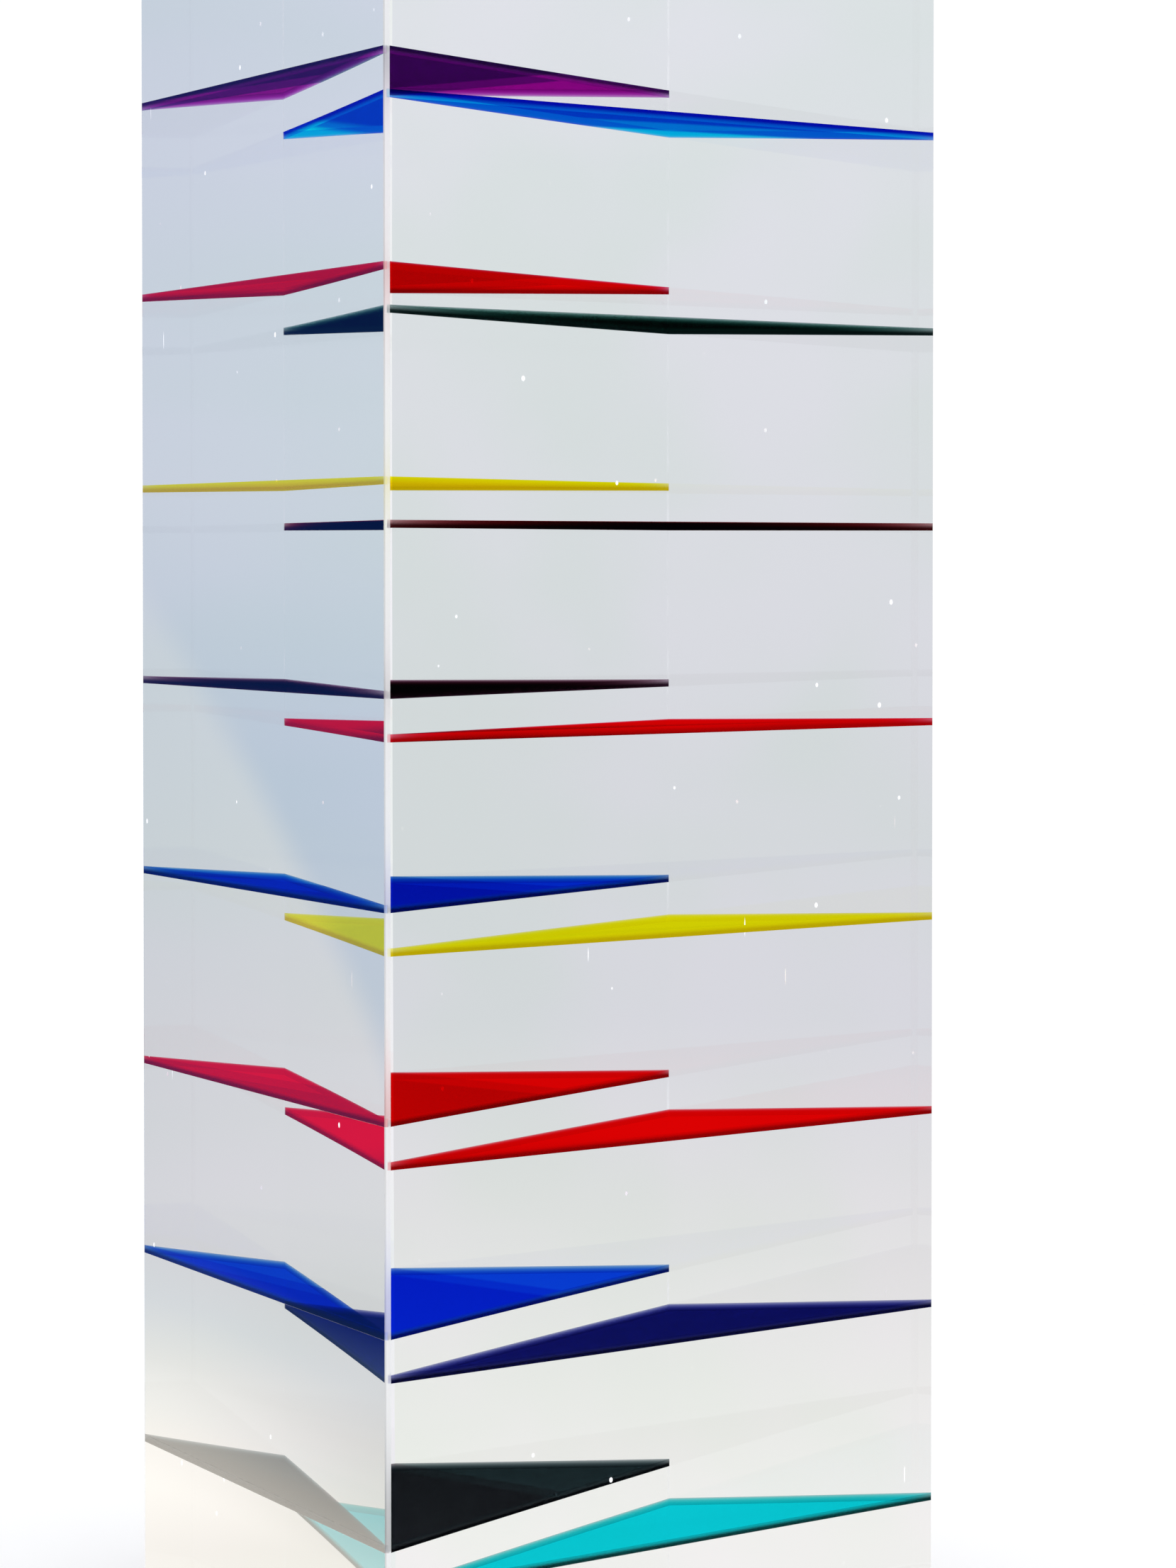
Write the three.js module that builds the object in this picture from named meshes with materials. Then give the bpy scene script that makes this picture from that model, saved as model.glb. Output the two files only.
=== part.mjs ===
// A free-standing column of clear cast acrylic with thin coloured acrylic sheets bonded between its blocks.
//
// In plan the column is an equilateral triangle with its front edge towards -Y. A flat glue plane from the
// front edge to the middle of the back face splits it into a left and a right half. Each half is its own
// stack of clear blocks and coloured sheets, and the right half's sheets sit lower than the left half's.
// Every piece is a straight prism with one section per half, and the three outer edges are polished to
// narrow flats after bonding. Neighbours touch face to face, as bonded pieces do.
//
// Units are millimetres, +Z is up, and the origin is the centre of the resting face's bounding box.

import * as THREE from 'three';

// Driving dimensions.
const COLUMN_WIDTH = 165; // across the back face, over the finished outer edges
const EDGE_FLAT = 1.2; // width of the polished flat along each outer edge
const BLOCK_THICKNESS = 38; // clear plate between two coloured sheets
const SHEET_THICKNESS = 1.5; // coloured sheet
const RIGHT_DROP = 8; // how far the right half's sheets sit below the left half's
const END_BLOCK_THICKNESS = 38; // clear block above the left half's first sheet and below its last

// Coloured sheets from the top down, one entry per sheet: the node's colour word and its colour.
const LEFT_SHEETS = [
  ['violet', 0x6a2a8c],
  ['crimson', 0xc01a3c],
  ['yellow', 0xdcc030],
  ['charcoal', 0x2c2430],
  ['cobalt', 0x143cb0],
  ['scarlet', 0xd01420],
  ['royal_blue', 0x1030c0],
  ['smoke', 0x2a2c2a],
];
const RIGHT_SHEETS = [
  ['azure', 0x1050d0],
  ['dark_green', 0x1f4038],
  ['maroon', 0x58242c],
  ['ruby', 0xc81c30],
  ['lemon', 0xe4d020],
  ['flame_red', 0xe01014],
  ['navy', 0x14165a],
  ['turquoise', 0x0cb4c2],
];

// Sizes that follow from them. A 60 degree corner cut square to its bisector loses the same length from
// each of its two faces as the cut is wide.
const SIN_60 = Math.sqrt(3) / 2;
const SHARP_WIDTH = COLUMN_WIDTH + EDGE_FLAT;
const BACK_Y = (SHARP_WIDTH * SIN_60 - EDGE_FLAT * SIN_60) / 2;
const FRONT_Y = -BACK_Y;

// Plan outline of the right half, counter-clockwise from the front end of the glue plane.
function rightOutline() {
  return [
    [0, FRONT_Y],
    [EDGE_FLAT / 2, FRONT_Y],
    [COLUMN_WIDTH / 2, BACK_Y - EDGE_FLAT * SIN_60],
    [SHARP_WIDTH / 2 - EDGE_FLAT, BACK_Y],
    [0, BACK_Y],
  ];
}

// The left half is the right half mirrored in the glue plane, with the point order turned round.
function leftOutline() {
  return rightOutline()
    .map(([x, y]) => [-x, y])
    .reverse();
}

function prism(outline, thickness) {
  const section = new THREE.Shape(outline.map(([x, y]) => new THREE.Vector2(x, y)));
  return new THREE.ExtrudeGeometry(section, { depth: thickness, bevelEnabled: false });
}

function clearAcrylic() {
  return new THREE.MeshStandardMaterial({
    color: 0xe6edf0,
    roughness: 0.03,
    metalness: 0,
    transparent: true,
    opacity: 0.35,
  });
}

function colouredAcrylic(colour) {
  return new THREE.MeshStandardMaterial({
    color: colour,
    roughness: 0.06,
    metalness: 0,
    transparent: true,
    opacity: 0.85,
  });
}

// One half: clear blocks and coloured sheets laid from the resting face up, and named from the top down.
function buildHalf(side, outline, sheets, topBlock, bottomBlock) {
  const half = new THREE.Group();
  const blockCount = sheets.length + 1;
  let height = 0;

  function lay(name, thickness, material) {
    const piece = new THREE.Mesh(prism(outline, thickness), material);
    piece.name = name;
    piece.position.z = height;
    half.add(piece);
    height += thickness;
  }

  lay(`${side}_block_${blockCount}`, bottomBlock, clearAcrylic());
  for (let number = sheets.length; number >= 1; number -= 1) {
    const [word, colour] = sheets[number - 1];
    lay(`${side}_sheet_${number}_${word}`, SHEET_THICKNESS, colouredAcrylic(colour));
    const thickness = number === 1 ? topBlock : BLOCK_THICKNESS;
    lay(`${side}_block_${number}`, thickness, clearAcrylic());
  }
  return half;
}

const column = new THREE.Group();
column.add(buildHalf('left', leftOutline(), LEFT_SHEETS, END_BLOCK_THICKNESS, END_BLOCK_THICKNESS));
column.add(
  buildHalf(
    'right',
    rightOutline(),
    RIGHT_SHEETS,
    END_BLOCK_THICKNESS + RIGHT_DROP,
    END_BLOCK_THICKNESS - RIGHT_DROP,
  ),
);

export default column;
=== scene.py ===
"""Looks for the laminated acrylic column: clear blocks, tinted sheets, studio stage and camera."""

import math

import bmesh
import bpy
from mathutils import Euler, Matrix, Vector


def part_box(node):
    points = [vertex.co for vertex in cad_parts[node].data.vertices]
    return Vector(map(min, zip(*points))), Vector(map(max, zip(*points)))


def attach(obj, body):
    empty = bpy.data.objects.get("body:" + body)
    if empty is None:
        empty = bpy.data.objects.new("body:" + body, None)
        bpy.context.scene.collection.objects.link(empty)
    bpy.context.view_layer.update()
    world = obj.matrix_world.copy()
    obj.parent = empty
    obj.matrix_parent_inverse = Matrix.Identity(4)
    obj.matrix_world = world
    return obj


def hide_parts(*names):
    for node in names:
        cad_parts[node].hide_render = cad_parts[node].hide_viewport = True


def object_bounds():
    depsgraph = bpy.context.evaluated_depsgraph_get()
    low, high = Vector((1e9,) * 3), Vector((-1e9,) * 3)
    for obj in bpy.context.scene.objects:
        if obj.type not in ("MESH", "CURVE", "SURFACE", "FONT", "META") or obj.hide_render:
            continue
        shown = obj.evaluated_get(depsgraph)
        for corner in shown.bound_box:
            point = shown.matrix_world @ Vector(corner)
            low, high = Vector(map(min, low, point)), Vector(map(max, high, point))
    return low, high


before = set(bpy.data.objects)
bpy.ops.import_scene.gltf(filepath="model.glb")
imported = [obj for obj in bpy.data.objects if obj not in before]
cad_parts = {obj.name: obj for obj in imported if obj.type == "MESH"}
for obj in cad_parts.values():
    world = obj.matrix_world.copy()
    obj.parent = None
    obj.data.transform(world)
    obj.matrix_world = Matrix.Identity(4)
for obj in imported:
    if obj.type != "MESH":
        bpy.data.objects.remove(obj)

cad_low, cad_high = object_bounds()

MM = 0.001
# How far a sheet's bonded faces stand back, so that no two faces coincide. Places nearer than this count
# as the same.
SKIN = 0.01 * MM
END_BEVEL = 0.5 * MM  # polished bevel round the two end faces
ACRYLIC_IOR = 1.49
WHITE = (1.0, 1.0, 1.0)
POLISHED, BONDED, GROUND, GLUED = range(4)  # a clear block's material slots

# Camera: a long lens to the right of the glue plane, looking slightly down and past the front edge.
CAMERA_DISTANCE = 1.211  # from the front edge
CAMERA_BEARING = math.radians(12.22)  # of the camera from the front edge, from -Y towards +X
CAMERA_HEADING = math.radians(10.47)  # turn of the view direction from +Y towards -X
CAMERA_PITCH = math.radians(1.97)  # downwards
CAMERA_HEIGHT = 0.222
CAMERA_LENS = 151.0  # in mm, as is the sensor's width
CAMERA_SENSOR = 36.0

# Each tinted sheet: the share of red, green and blue light left after TINT_DEPTH of it, after one face
# of its dim area, which is painted shade, and after the dark side of one of its cut edges, a strip of painted
# shade.
TINT_DEPTH = 10 * MM
TINTS = {
    "violet": ((0.68, 0.13, 0.64), (0.36, 0.80, 0.57), (0.06, 0.012, 0.12)),
    "crimson": ((0.99, 0.01, 0.03), (0.79, 0.50, 0.50), (0.34, 0.004, 0.02)),
    "yellow": ((0.995, 0.975, 0.13), (0.99, 0.97, 0.80), (0.72, 0.55, 0.01)),
    "charcoal": ((0.50, 0.36, 0.42), (0.90, 0.80, 0.90), (0.05, 0.02, 0.04)),
    "cobalt": ((0.12, 0.45, 0.94), (0.40, 0.50, 0.82), (0.002, 0.012, 0.14)),
    "scarlet": ((0.995, 0.006, 0.01), (0.82, 0.50, 0.50), (0.30, 0.003, 0.005)),
    "royal_blue": ((0.05, 0.24, 0.91), (0.50, 0.52, 0.91), (0.002, 0.014, 0.16)),
    "smoke": ((0.06, 0.09, 0.10), (0.85, 0.68, 0.70), (0.006, 0.009, 0.011)),
    "azure": ((0.02, 0.95, 0.998), (0.30, 0.24, 0.80), (0.004, 0.02, 0.62)),
    "dark_green": ((0.24, 0.40, 0.37), (0.95, 0.95, 0.95), (0.015, 0.03, 0.03)),
    "maroon": ((0.50, 0.20, 0.22), (0.95, 0.95, 0.95), (0.08, 0.012, 0.014)),
    "ruby": ((0.998, 0.03, 0.06), (0.45, 0.50, 0.55), (0.55, 0.004, 0.012)),
    "lemon": ((0.998, 0.982, 0.06), (0.95, 0.95, 0.90), (0.75, 0.58, 0.01)),
    "flame_red": ((0.998, 0.006, 0.01), (0.66, 0.50, 0.50), (0.36, 0.003, 0.006)),
    "navy": ((0.06, 0.07, 0.35), (0.93, 0.93, 0.95), (0.008, 0.009, 0.06)),
    "turquoise": ((0.02, 0.76, 0.84), (0.90, 0.98, 0.98), (0.012, 0.05, 0.05)),
}

# The bright area of a left-hand sheet, where its painted shade stops: how far back it starts at the glue
# plane, how far further back that is for each step to the left, and half the width of its soft edge.
LEFT_START = 14 * MM
LEFT_LEAN = 0.70
LEFT_SOFTNESS = 2 * MM
# The bright area of a right-hand sheet, where its painted shade stops, in millimetres: how far it reaches
# past the diagonal y = x, and half the width of its soft edge.
USUAL_REACH = (-28.0, 9.0)
WIDE_REACH = {"ruby": (30.0, 30.0), "flame_red": (75.0, 50.0)}
GRAZING = (0.62, 0.85)  # over which part of the layer weight's Facing a sheet's dim area of painted shade sets in

# Where in a cut edge's height its dark side, painted shade, fades in, from light to dark, as shares of the
# thickness. The dark side is the lower one, except in the sheets of DARK_ABOVE. It shows where a line of
# sight enters the sheet or, in the sheets of DARK_INSIDE, where it leaves the sheet.
LOWER_PAINTED_SHADE = (0.95, 0.3)
UPPER_PAINTED_SHADE = (0.05, 0.7)
DARK_ABOVE = ("violet", "azure")
DARK_INSIDE = ("crimson", "yellow", "dark_green", "maroon")
CUT_LIGHT = 0.14  # the tint of a cut edge's light side, a fainter painted shade, is this power of its dark side's

# Dust on the outside: how many Voronoi cells there are to a metre, how far from its cell's centre a mark
# is clear and how far it is solid, in cells, and the share of the cells that hold a mark. Fibres are
# marks drawn out along one way.
SPECKS = {"cells": 90.0, "size": (0.055, 0.03), "share": 0.4}
FIBRES = {"cells": 30.0, "size": (0.07, 0.03), "share": 0.05}
FIBRE_TURN = (0.5, 1.2, 0.4)
FIBRE_SQUEEZE = (12.0, 12.0, 1.0)
# Dust marks are white and also glow a little; that glow is painted light.
DUST_WHITE = (0.95, 0.95, 0.96)
DUST_PAINTED_GLOW = 0.7

SMEAR_SCALE = 22.0
SMEAR_ROUGHNESS = 0.03
OUTER_CLEAR = (0.985, 0.992, 0.99)
BONDED_CLEAR = (0.995, 0.997, 0.996)

# The front flat: its streaks run along its length, and a band along its left side, at its corner with the
# left face, is darkened as painted shade.
GROUND_WHITE = (0.98, 0.97, 0.95)
GROUND_STREAKS = 2500.0
STREAK_SQUEEZE = (1.0, 1.0, 0.03)
STREAK_SHADE = 0.93
PAINTED_CORNER_SHADE = (-0.45 * MM, -0.2 * MM)  # from painted shade to unshaded
PAINTED_CORNER_SHADE_SHARE = 0.68
GROUND_CLEARNESS = 0.5  # the share of light that goes through
SHEET_IN_FLAT = 0.15  # how much of a sheet's own tint shows in its ground flat

# The glue line at the back of the glue plane, drawn as a faint glow of painted light: how near the back face
# it fades in, the scale of its speckles, and how much it covers, at least and at most.
GLUE_DEPTH = (1.5 * MM, 0.6 * MM)
GLUE_SPECKLES = 130.0
GLUE_COVER = (0.05, 0.7)
GLUE_WHITE = (0.93, 0.95, 1.0)
GLUE_PAINTED_GLOW = 0.95


def make_camera():
    front = Vector((0.0, cad_low.y, CAMERA_HEIGHT))
    away = Vector((math.sin(CAMERA_BEARING), -math.cos(CAMERA_BEARING), 0.0))
    camera = bpy.data.objects.new("camera", bpy.data.cameras.new("camera"))
    camera.location = front + away * CAMERA_DISTANCE
    camera.rotation_euler = Euler((math.pi / 2 - CAMERA_PITCH, 0.0, CAMERA_HEADING))
    camera.data.lens = CAMERA_LENS
    camera.data.sensor_width = CAMERA_SENSOR
    bpy.context.collection.objects.link(camera)
    bpy.context.scene.camera = camera


make_camera()


# ---------------------------------------------------------------- node helpers


class Graph:
    """A material's or world's node tree, with short ways to add nodes."""

    def __init__(self, owner):
        owner.use_nodes = True
        self.tree = owner.node_tree
        self.tree.nodes.clear()

    def add(self, kind, **settings):
        node = self.tree.nodes.new(kind)
        for name, value in settings.items():
            setattr(node, name, value)
        return node

    def put(self, socket, value):
        """Links a socket to another one, or sets its plain value."""
        if isinstance(value, bpy.types.NodeSocket):
            self.tree.links.new(value, socket)
        elif hasattr(value, "__len__") and socket.type == "RGBA" and len(value) == 3:
            socket.default_value = (*value, 1.0)
        else:
            socket.default_value = value

    def math(self, operation, first, second=0.0):
        node = self.add("ShaderNodeMath", operation=operation)
        self.put(node.inputs[0], first)
        self.put(node.inputs[1], second)
        return node.outputs[0]

    def smooth(self, value, low, high, to_low=0.0, to_high=1.0):
        """A smooth step of value between low and high."""
        node = self.add("ShaderNodeMapRange", interpolation_type="SMOOTHSTEP")
        for socket, item in zip(node.inputs, (value, low, high, to_low, to_high)):
            self.put(socket, item)
        return node.outputs[0]

    def ramp(self, value, stops):
        """A colour ramp through (place, colour) stops, with places from 0 to 1."""
        node = self.add("ShaderNodeValToRGB")
        self.put(node.inputs[0], value)
        elements = node.color_ramp.elements
        while len(elements) < len(stops):
            elements.new(1.0)
        for element, (place, colour) in zip(elements, stops):
            element.position = place
            element.color = (*colour, 1.0)
        return node.outputs[0]

    def mix(self, factor, first, second):
        """Two colours mixed."""
        node = self.add("ShaderNodeMix", data_type="RGBA")
        self.put(node.inputs[0], factor)
        self.put(node.inputs[6], first)
        self.put(node.inputs[7], second)
        return node.outputs[2]

    def tinted(self, first, second):
        """One colour multiplied by another."""
        node = self.add("ShaderNodeMix", data_type="RGBA", blend_type="MULTIPLY")
        self.put(node.inputs[0], 1.0)
        self.put(node.inputs[6], first)
        self.put(node.inputs[7], second)
        return node.outputs[2]

    def place(self):
        """A point's place, in metres from the column's origin."""
        return self.add("ShaderNodeTexCoord").outputs["Object"]

    def axes(self, vector):
        """A vector's X, Y and Z."""
        node = self.add("ShaderNodeSeparateXYZ")
        self.put(node.inputs[0], vector)
        return node.outputs

    def squeezed(self, vector, scale, turn=(0.0, 0.0, 0.0)):
        """A vector turned and scaled, which draws a texture out along the axes with the smallest scale."""
        node = self.add("ShaderNodeMapping")
        self.put(node.inputs["Vector"], vector)
        self.put(node.inputs["Rotation"], turn)
        self.put(node.inputs["Scale"], scale)
        return node.outputs[0]

    def noise(self, vector, scale, detail=2.0):
        node = self.add("ShaderNodeTexNoise")
        self.put(node.inputs["Vector"], vector)
        self.put(node.inputs["Scale"], scale)
        self.put(node.inputs["Detail"], detail)
        return node.outputs["Fac"]

    def marks(self, vector, cells, size, share):
        """A mask of round marks, one in each of a share of the cells of a Voronoi texture."""
        node = self.add("ShaderNodeTexVoronoi")
        self.put(node.inputs["Vector"], vector)
        self.put(node.inputs["Scale"], cells)
        chance = self.add("ShaderNodeSeparateColor")
        self.put(chance.inputs[0], node.outputs["Color"])
        kept = self.math("GREATER_THAN", chance.outputs[0], 1.0 - share)
        return self.math("MULTIPLY", self.smooth(node.outputs["Distance"], *size), kept)

    def face_value(self, name):
        """A value stored on each face of the mesh."""
        return self.add("ShaderNodeAttribute", attribute_name=name).outputs["Fac"]

    def blend(self, factor, first, second):
        """Two shaders blended."""
        node = self.add("ShaderNodeMixShader")
        for socket, item in zip(node.inputs, (factor, first, second)):
            self.put(socket, item)
        return node.outputs[0]

    def finish(self, kind, **links):
        out = self.add(kind)
        for name, value in links.items():
            self.put(out.inputs[name], value)


def start_material(name):
    """A new material and its empty graph."""
    material = bpy.data.materials.new(name)
    return material, Graph(material)


# ---------------------------------------------------------------- materials


def dust_mask(graph, place):
    """Sparse dust specks and a few short fibres, 1 where one lies."""
    specks = graph.marks(place, **SPECKS)
    fibres = graph.marks(graph.squeezed(place, FIBRE_SQUEEZE, FIBRE_TURN), **FIBRES)
    return graph.math("MAXIMUM", specks, fibres)


def polished(graph, tint, dusty):
    """A polished acrylic surface: clear glass with faint smears and, where dusty, specks and fibres with a
    painted glow.
    """
    place = graph.place()
    smear = graph.noise(place, SMEAR_SCALE, 3.0)
    shader = graph.add("ShaderNodeBsdfPrincipled")
    graph.put(shader.inputs["Roughness"], graph.smooth(smear, 0.45, 0.8, 0.0, SMEAR_ROUGHNESS))
    graph.put(shader.inputs["IOR"], ACRYLIC_IOR)
    if dusty:
        dust = dust_mask(graph, place)
        graph.put(shader.inputs["Base Color"], graph.mix(dust, tint, DUST_WHITE))
        graph.put(shader.inputs["Transmission Weight"], graph.math("SUBTRACT", 1.0, dust))
        # The dust's glow is painted light, not lit by any lamp.
        graph.put(shader.inputs["Emission Color"], DUST_WHITE)
        graph.put(shader.inputs["Emission Strength"], graph.math("MULTIPLY", dust, DUST_PAINTED_GLOW))
    else:
        graph.put(shader.inputs["Base Color"], tint)
        graph.put(shader.inputs["Transmission Weight"], 1.0)
    return shader.outputs[0]


def ground(graph, tint):
    """The narrow ground flat along the front edge: satin, finely streaked, with painted shade along its left,
    at its corner with the left face.
    """
    place = graph.place()
    streaks = graph.noise(graph.squeezed(place, STREAK_SQUEEZE), GROUND_STREAKS)
    shader = graph.add("ShaderNodeBsdfPrincipled")
    streaked = graph.mix(streaks, tuple(STREAK_SHADE * channel for channel in tint), tint)
    # Painted shade along the flat's left side, at its corner with the left face.
    darker = tuple(PAINTED_CORNER_SHADE_SHARE * channel for channel in tint)
    unshaded = graph.smooth(graph.axes(place)["X"], *PAINTED_CORNER_SHADE)
    graph.put(shader.inputs["Base Color"], graph.mix(unshaded, darker, streaked))
    graph.put(shader.inputs["Roughness"], graph.smooth(streaks, 0.3, 0.7, 0.35, 0.5))
    graph.put(shader.inputs["IOR"], ACRYLIC_IOR)
    graph.put(shader.inputs["Transmission Weight"], GROUND_CLEARNESS)
    return shader.outputs[0]


def straight_through(graph, tint):
    """A surface that light goes straight through, tinted, as at a bonded face with no change of index."""
    shader = graph.add("ShaderNodeBsdfTransparent")
    graph.put(shader.inputs["Color"], tint)
    return shader.outputs[0]


def clear_outer_material():
    material, graph = start_material("clear_acrylic_polished")
    graph.finish("ShaderNodeOutputMaterial", Surface=polished(graph, OUTER_CLEAR, True))
    return material


def clear_ground_material():
    material, graph = start_material("clear_acrylic_ground_edge")
    graph.finish("ShaderNodeOutputMaterial", Surface=ground(graph, GROUND_WHITE))
    return material


def bonded_material():
    """A bonded face between clear blocks."""
    material, graph = start_material("clear_acrylic_bonded")
    graph.finish("ShaderNodeOutputMaterial", Surface=straight_through(graph, BONDED_CLEAR))
    return material


def glue_material():
    """The glue plane: clear like any bonded face, but for a thin speckled line of glue along the back, which
    glows as painted light.
    """
    material, graph = start_material("clear_acrylic_glue_line")
    clear = straight_through(graph, BONDED_CLEAR)
    # The glue is drawn as a glow, painted light, rather than lit.
    glue = graph.add("ShaderNodeEmission")
    graph.put(glue.inputs["Color"], GLUE_WHITE)
    graph.put(glue.inputs["Strength"], GLUE_PAINTED_GLOW)
    place = graph.place()
    fade_start, fade_end = (cad_high.y - depth for depth in GLUE_DEPTH)
    near_back = graph.smooth(graph.axes(place)["Y"], fade_start, fade_end)
    speckle = graph.smooth(graph.noise(place, GLUE_SPECKLES, 3.0), 0.42, 0.68, *GLUE_COVER)
    surface = graph.blend(graph.math("MULTIPLY", near_back, speckle), clear, glue.outputs[0])
    graph.finish("ShaderNodeOutputMaterial", Surface=surface)
    return material


def unshaded_zone(graph, reach, softness):
    """The plan area of a sheet that stays free of its painted shade, near the back of the glue plane, with a
    soft edge.
    """
    x, y, _ = graph.axes(graph.place())
    past_left = graph.math("ADD", graph.math("SUBTRACT", y, LEFT_START), graph.math("MULTIPLY", x, LEFT_LEAN))
    past_right = graph.math("ADD", graph.math("SUBTRACT", y, x), reach * MM)
    left_zone = graph.smooth(past_left, -LEFT_SOFTNESS, LEFT_SOFTNESS)
    right_zone = graph.smooth(past_right, -softness * MM, softness * MM)
    is_right = graph.math("GREATER_THAN", x, 0.0)
    change = graph.math("MULTIPLY", is_right, graph.math("SUBTRACT", right_zone, left_zone))
    return graph.math("ADD", left_zone, change)


def broad_face_tint(graph, word):
    """What a sheet's bonded faces let through: less in its dim area, which is painted shade, at grazing
    angles.
    """
    dim = TINTS[word][1]
    # Outside this area the dim tint is painted shade.
    unshaded_area = unshaded_zone(graph, *WIDE_REACH.get(word, USUAL_REACH))
    grazing = graph.smooth(graph.add("ShaderNodeLayerWeight").outputs["Facing"], *GRAZING)
    return graph.mix(grazing, WHITE, graph.mix(unshaded_area, dim, WHITE))


def cut_edge_tint(graph, word, low, high):
    """What a sheet's cut edges let through, darkened as painted shade: least along their dark side, where
    that shows.
    """
    cut = TINTS[word][2]
    light_end, dark_end = UPPER_PAINTED_SHADE if word in DARK_ABOVE else LOWER_PAINTED_SHADE
    thickness = high - low
    level = graph.axes(graph.place())["Z"]
    dark = graph.smooth(level, low + light_end * thickness, low + dark_end * thickness)
    shows = graph.add("ShaderNodeNewGeometry").outputs["Backfacing"]
    if word not in DARK_INSIDE:
        shows = graph.math("SUBTRACT", 1.0, shows)
    # The cut edge's tint, darkest on its dark side, is painted shade.
    light_side = tuple(share**CUT_LIGHT for share in cut)
    return graph.mix(graph.math("MULTIPLY", dark, shows), light_side, cut)


def sheet_material(word, low, high):
    """A tinted sheet: absorbing inside, bonded above and below, its cut edges darker along one side and its
    bonded faces dim in one area, both painted shade.
    """
    body = TINTS[word][0]
    rates = [-math.log(share) / TINT_DEPTH for share in body]
    density = max(rates) * 1.02  # a little over the strongest rate, so that no part of the colour is 0
    material, graph = start_material(f"{word}_acrylic")
    inside = graph.add("ShaderNodeVolumeAbsorption")
    graph.put(inside.inputs["Color"], tuple(1 - rate / density for rate in rates))
    graph.put(inside.inputs["Density"], density)

    edge = cut_edge_tint(graph, word, low, high)
    broad = broad_face_tint(graph, word)
    bonded = straight_through(graph, graph.mix(graph.face_value("seam"), broad, edge))
    # A Principled surface lets the root of its colour through, so an outer cut edge takes its square.
    outer = polished(graph, graph.tinted(edge, edge), False)
    white_share = 1 - SHEET_IN_FLAT
    flat_tint = tuple(white_share * white + SHEET_IN_FLAT * share for white, share in zip(GROUND_WHITE, body))
    surface = graph.blend(graph.face_value("outer"), bonded, outer)
    surface = graph.blend(graph.face_value("flat"), surface, ground(graph, flat_tint))
    graph.finish("ShaderNodeOutputMaterial", Surface=surface, Volume=inside.outputs[0])
    return material


# ---------------------------------------------------------------- pieces


def outline_of(node):
    """A CAD node's plan outline, counter-clockwise, as (x, y) pairs."""
    points = {(round(v.co.x, 7), round(v.co.y, 7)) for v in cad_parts[node].data.vertices}
    centre_x = sum(p[0] for p in points) / len(points)
    centre_y = sum(p[1] for p in points) / len(points)
    return sorted(points, key=lambda p: math.atan2(p[1] - centre_y, p[0] - centre_x))


def prism(name, outline, low, high):
    """A closed prism over a plan outline."""
    mesh = bpy.data.meshes.new(name)
    count = len(outline)
    points = [(x, y, z) for z in (low, high) for x, y in outline]
    faces = [tuple(reversed(range(count))), tuple(range(count, 2 * count))]
    for i in range(count):
        j = (i + 1) % count
        faces.append((i, j, count + j, count + i))
    mesh.from_pydata(points, [], faces)
    piece = bpy.data.objects.new(name, mesh)
    bpy.context.collection.objects.link(piece)
    return piece


def corners(mesh, polygon):
    return [mesh.vertices[index].co for index in polygon.vertices]


def at_column_end(level):
    return min(abs(level - cad_low.z), abs(level - cad_high.z)) < SKIN


def on_seam(points):
    """Whether points all lie on the glue plane between the two halves."""
    return all(abs(point.x) < 2 * SKIN for point in points)


def on_front_flat(points):
    """Whether points all lie on the narrow flat along the front edge."""
    return all(point.y < cad_low.y + 2 * SKIN for point in points)


def bevel_end(piece, level):
    """Rounds the outer edges of a piece's end face, but not its edge on the glue plane."""
    shape = bmesh.new()
    shape.from_mesh(piece.data)
    rim = []
    for edge in shape.edges:
        ends = [vertex.co for vertex in edge.verts]
        if all(abs(point.z - level) < SKIN for point in ends) and not on_seam(ends):
            rim.append(edge)
    bmesh.ops.bevel(shape, geom=rim, offset=END_BEVEL, segments=2, profile=0.5, affect="EDGES")
    shape.to_mesh(piece.data)
    shape.free()


def build_block(node, finishes):
    """A clear block: polished outside, ground along its front edge, and bonded to its neighbours."""
    low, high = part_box(node)
    piece = prism(node.replace("block", "clear_block"), outline_of(node), low.z, high.z)
    for level in (low.z, high.z):
        if at_column_end(level):
            bevel_end(piece, level)
    for material in finishes:
        piece.data.materials.append(material)
    for polygon in piece.data.polygons:
        points = corners(piece.data, polygon)
        levels = [point.z for point in points]
        joined = max(levels) - min(levels) < SKIN and not at_column_end(levels[0])
        if on_seam(points) and high.x < SKIN:
            polygon.material_index = GLUED
        elif joined or on_seam(points):
            polygon.material_index = BONDED
        elif on_front_flat(points):
            polygon.material_index = GROUND
        else:
            polygon.material_index = POLISHED
    return piece


def build_sheet(node, word):
    """A tinted sheet, standing back from its neighbours by a skin on its bonded faces."""
    low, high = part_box(node)
    side = 1 if low.x > -SKIN else -1
    inset = [(side * SKIN if abs(x) < SKIN else x, y) for x, y in outline_of(node)]
    piece = prism(node.replace("sheet", "tinted_sheet"), inset, low.z + SKIN, high.z - SKIN)
    piece.data.materials.append(sheet_material(word, low.z, high.z))
    names = ("seam", "outer", "flat")
    for name in names:
        piece.data.attributes.new(name, "FLOAT", "FACE")
    masks = {name: piece.data.attributes[name] for name in names}
    for polygon in piece.data.polygons:
        points = corners(piece.data, polygon)
        upright = abs(polygon.normal.z) < 0.5
        seam = upright and on_seam(points)
        flat = upright and on_front_flat(points)
        masks["seam"].data[polygon.index].value = float(seam)
        masks["flat"].data[polygon.index].value = float(flat)
        masks["outer"].data[polygon.index].value = float(upright and not seam)
    return piece


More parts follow.
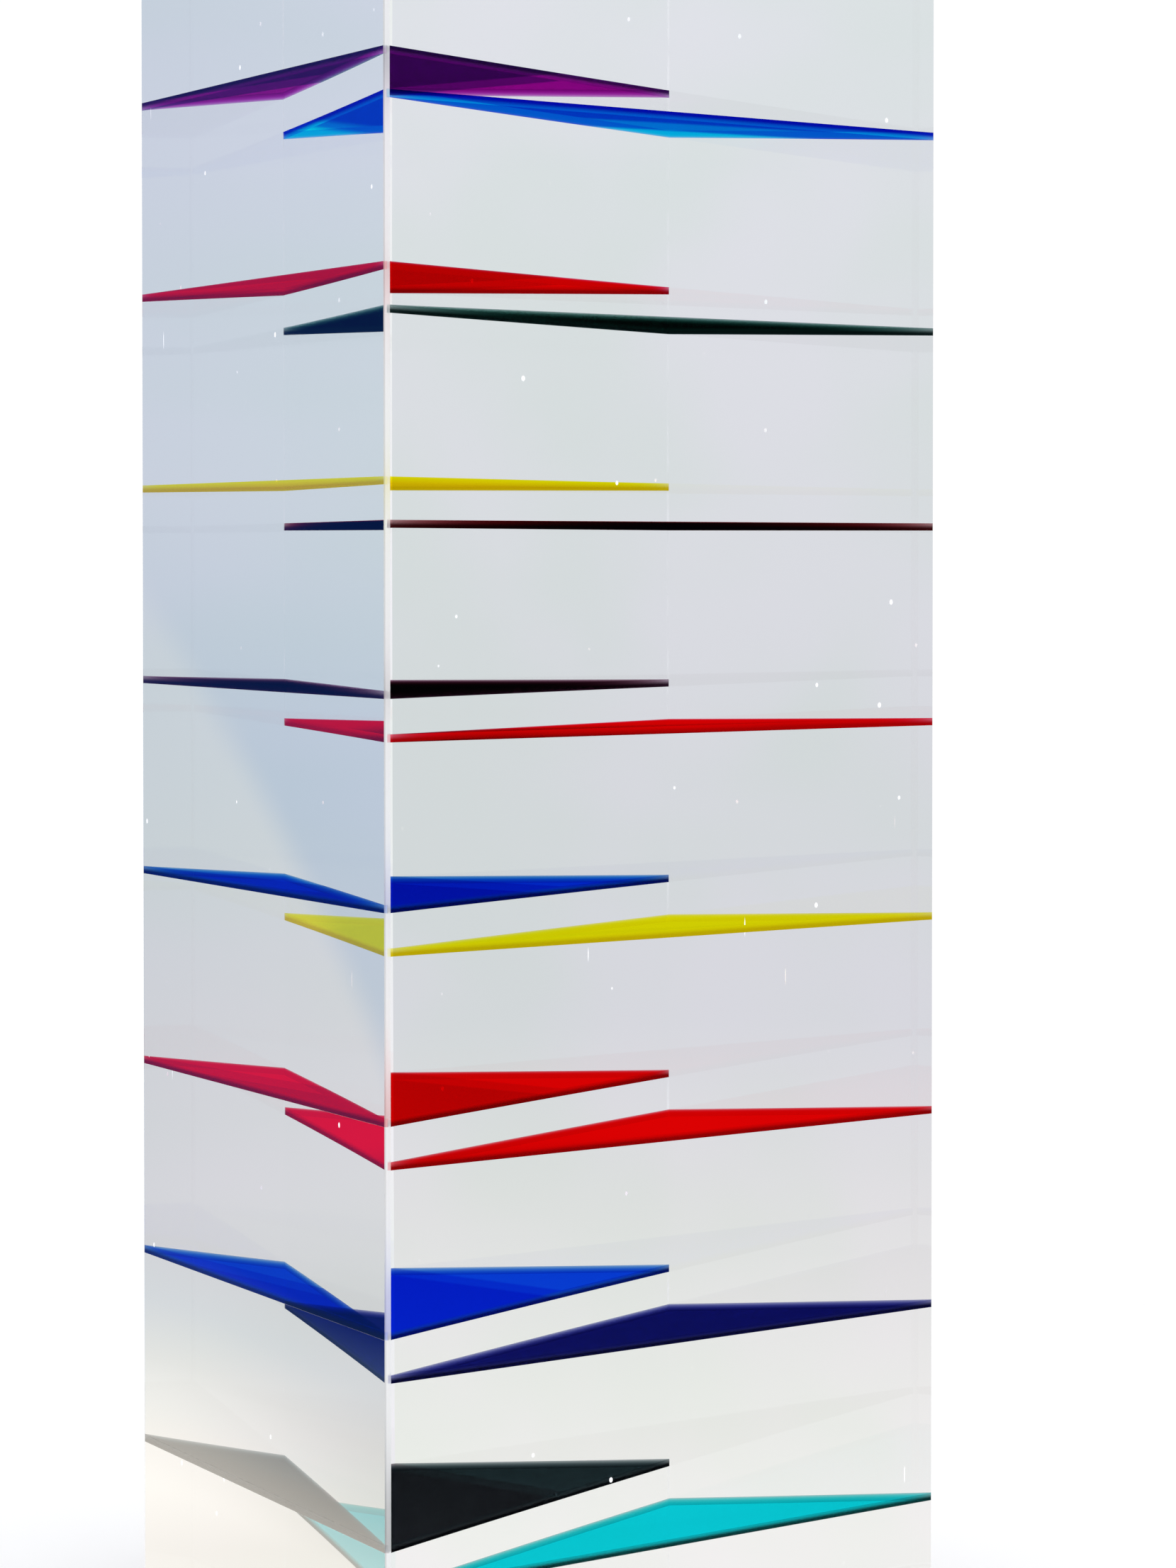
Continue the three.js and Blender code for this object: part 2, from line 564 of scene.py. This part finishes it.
def build_column():
    finishes = (clear_outer_material(), bonded_material(), clear_ground_material(), glue_material())
    for node in sorted(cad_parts):
        if "_block_" in node:
            piece = build_block(node, finishes)
        else:
            word = node.split("_", 3)[3]
            piece = build_sheet(node, word)
        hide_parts(node)
        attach(piece, "root")


build_column()


# ---------------------------------------------------------------- stage and light

BACKDROP = (1.02, 1.02, 1.02)

# Directions in the surroundings are azimuths, in degrees counter-clockwise from +X, and elevations, in
# degrees above the horizon. The three lists below are what light meets beyond the column, by elevation:
# what the left face looks through to, what the right face looks through to, and what the left face mirrors.
BEYOND_LEFT_FACE = [
    (-12.0, (0.86, 0.85, 0.82)),
    (-8.6, (0.52, 0.51, 0.48)),
    (-7.2, (0.82, 0.81, 0.76)),
    (-5.6, (0.88, 0.88, 0.84)),
    (-4.0, (0.82, 0.84, 0.80)),
    (-2.0, (0.80, 0.84, 0.84)),
    (1.0, (0.765, 0.835, 0.87)),
    (4.6, (0.76, 0.83, 0.88)),
    (12.0, (0.92, 0.95, 0.98)),
]
BEYOND_RIGHT_FACE = [
    (-12.0, (0.97, 0.97, 0.95)),
    (-8.5, (0.98, 0.97, 0.935)),
    (-7.2, (0.90, 0.90, 0.865)),
    (-5.7, (0.81, 0.81, 0.80)),
    (-4.0, (0.725, 0.74, 0.763)),
    (-1.9, (0.725, 0.747, 0.764)),
    (4.6, (0.79, 0.82, 0.84)),
    (12.0, (0.92, 0.94, 0.96)),
]
MIRRORED_LEFT = [
    (-12.0, (2.2, 2.1, 2.0)),
    (-8.5, (2.25, 2.15, 1.95)),
    (-8.1, (1.75, 1.66, 1.50)),
    (-7.8, (1.3, 1.3, 1.25)),
    (-7.4, (0.7, 0.73, 0.75)),
    (-6.9, (0.16, 0.28, 0.5)),
    (-6.4, (0.01, 0.05, 0.26)),
    (12.0, (0.01, 0.03, 0.24)),
]
RAMP_SPAN = 12.0  # how far the lists reach above and below the horizon
MIRRORED_RIGHT = (0.01, 0.01, 0.015)
MIRRORED_BEHIND = (0.30, 0.31, 0.33)
OVERHEAD = (1.3, 1.3, 1.3)
UNDERFOOT = (0.75, 0.745, 0.73)

# The mirrored bands lean: between these two azimuths, how far they are moved down changes between these
# two angles.
LEAN_AZIMUTHS = (135.4, 138.2)
LEAN_ANGLES = (-0.5, 0.4)

# A soft-edged shade, seen through the left face only: the azimuth of its edge at the horizon, how far that
# moves for each degree of elevation, half the width of the edge, and where the shade fades in downwards.
SHADE_EDGE = 59.86
SHADE_LEAN = 0.256
SHADE_SOFTNESS = 0.08
SHADE_FADE = (1.2, -2.4)
SHADE_TINT = (0.80, 0.87, 0.97)

# Where what the left face looks through to changes to what the right face does, and a pale band between
# the two, which the front flat looks through to.
FACE_CHANGE = (80.0, 115.0)
BAND_RIGHT_SIDE = (90.0, 97.0)
BAND_LEFT_SIDE = (112.0, 105.0)
BAND_WHITE = (0.95, 0.95, 0.955)

# Large faint patches of two tints over all that the acrylic looks through to.
DRIFT_SCALE = 28.0
DRIFT_GREEN = (0.96, 0.985, 0.97)
DRIFT_LILAC = (1.02, 0.99, 1.035)


def by_elevation(graph, height, stops):
    """A list of the surroundings as a colour, where height runs from 0 to 1 over the span of the lists."""
    return graph.ramp(height, [((angle + RAMP_SPAN) / (2 * RAMP_SPAN), tint) for angle, tint in stops])


def looked_through_to(graph, direction, azimuth, elevation, height):
    """What the acrylic looks through to."""
    shade_edge = graph.math("ADD", graph.math("MULTIPLY", elevation, SHADE_LEAN), SHADE_EDGE)
    past_edge = graph.math("SUBTRACT", shade_edge, azimuth)
    shade = graph.smooth(past_edge, -SHADE_SOFTNESS, SHADE_SOFTNESS)
    shade = graph.math("MULTIPLY", shade, graph.smooth(elevation, *SHADE_FADE))
    beyond_left = by_elevation(graph, height, BEYOND_LEFT_FACE)
    beyond_left = graph.mix(shade, beyond_left, graph.tinted(beyond_left, SHADE_TINT))
    beyond_right = by_elevation(graph, height, BEYOND_RIGHT_FACE)
    through = graph.mix(graph.smooth(azimuth, *FACE_CHANGE), beyond_left, beyond_right)
    right_side = graph.smooth(azimuth, *BAND_RIGHT_SIDE)
    band = graph.math("MULTIPLY", right_side, graph.smooth(azimuth, *BAND_LEFT_SIDE))
    through = graph.mix(band, through, BAND_WHITE)
    greener = graph.tinted(through, DRIFT_GREEN)
    lilac = graph.tinted(through, DRIFT_LILAC)
    drift = graph.smooth(graph.noise(direction, DRIFT_SCALE), 0.3, 0.7)
    return graph.mix(drift, greener, lilac)


def mirrored_by(graph, azimuth, elevation, height):
    """What the acrylic mirrors."""
    lean = graph.smooth(azimuth, *LEAN_AZIMUTHS, *LEAN_ANGLES)
    leaning = graph.math("ADD", height, graph.math("MULTIPLY", lean, 0.5 / RAMP_SPAN))
    leftward = graph.smooth(azimuth, 60.0, 100.0)
    mirrored = graph.mix(leftward, MIRRORED_RIGHT, by_elevation(graph, leaning, MIRRORED_LEFT))
    behind = graph.math("MAXIMUM", graph.smooth(azimuth, -20.0, -50.0), graph.smooth(azimuth, 165.0, 175.0))
    mirrored = graph.mix(behind, mirrored, MIRRORED_BEHIND)
    mirrored = graph.mix(graph.smooth(elevation, 7.0, 20.0), mirrored, OVERHEAD)
    return graph.mix(graph.smooth(elevation, -12.0, -20.0), mirrored, UNDERFOOT)


def make_world():
    """A white backdrop, and soft surroundings for what the acrylic looks through to and mirrors."""
    world = bpy.data.worlds.new("studio")
    bpy.context.scene.world = world
    graph = Graph(world)
    direction = graph.add("ShaderNodeTexCoord").outputs["Generated"]
    x, y, z = graph.axes(direction)
    azimuth = graph.math("MULTIPLY", graph.math("ARCTAN2", y, x), math.degrees(1.0))
    elevation = graph.math("MULTIPLY", graph.math("ARCSINE", z), math.degrees(1.0))
    height = graph.math("ADD", graph.math("MULTIPLY", elevation, 0.5 / RAMP_SPAN), 0.5)
    through = looked_through_to(graph, direction, azimuth, elevation, height)
    mirrored = mirrored_by(graph, azimuth, elevation, height)
    path = graph.add("ShaderNodeLightPath").outputs
    is_mirror = graph.math("MULTIPLY", path["Is Reflection Ray"], path["Is Glossy Ray"])
    surroundings = graph.mix(is_mirror, through, mirrored)
    background = graph.add("ShaderNodeBackground")
    graph.put(background.inputs["Color"], graph.mix(path["Is Camera Ray"], surroundings, BACKDROP))
    graph.finish("ShaderNodeOutputWorld", Surface=background.outputs[0])


FLOOR_RADIUS = 0.9
FLOOR_FADE_START = 0.3
FLOOR_WHITE = (0.93, 0.92, 0.905)


def make_floor():
    """A pale floor that fades into the backdrop. The acrylic neither looks through to it nor mirrors it."""
    mesh = bpy.data.meshes.new("floor")
    shape = bmesh.new()
    bmesh.ops.create_circle(shape, cap_ends=True, segments=96, radius=FLOOR_RADIUS)
    shape.to_mesh(mesh)
    shape.free()
    floor = bpy.data.objects.new("floor", mesh)
    bpy.context.collection.objects.link(floor)
    floor.visible_glossy = False
    floor.visible_transmission = False
    material, graph = start_material("floor")
    far = graph.add("ShaderNodeVectorMath", operation="LENGTH")
    graph.put(far.inputs[0], graph.place())
    card = graph.add("ShaderNodeBsdfDiffuse")
    graph.put(card.inputs["Color"], FLOOR_WHITE)
    faded = graph.smooth(far.outputs["Value"], FLOOR_FADE_START, FLOOR_RADIUS)
    surface = graph.blend(faded, card.outputs[0], straight_through(graph, WHITE))
    graph.finish("ShaderNodeOutputMaterial", Surface=surface)
    mesh.materials.append(material)


LAMP_SIZE = 1.0
LAMP_WATTS = 10.0
LAMP_PLACE = Vector((0.25, -0.35, 1.8))
LAMP_DIRECTION = Vector((-0.25, 0.35, -1.6))  # towards the column


def make_lamp():
    """A wide soft lamp overhead, which the acrylic neither looks through to nor mirrors."""
    lamp = bpy.data.lights.new("overhead", "AREA")
    lamp.shape = "DISK"
    lamp.size = LAMP_SIZE
    lamp.energy = LAMP_WATTS
    light = bpy.data.objects.new("overhead", lamp)
    light.location = LAMP_PLACE
    light.rotation_euler = LAMP_DIRECTION.to_track_quat("-Z", "Y").to_euler()
    light.visible_glossy = False
    light.visible_transmission = False
    bpy.context.collection.objects.link(light)


make_world()
make_floor()
make_lamp()

scene = bpy.context.scene
scene.view_settings.view_transform = "Standard"
scene.cycles.max_bounces = 24
scene.cycles.transmission_bounces = 24
scene.cycles.transparent_max_bounces = 64
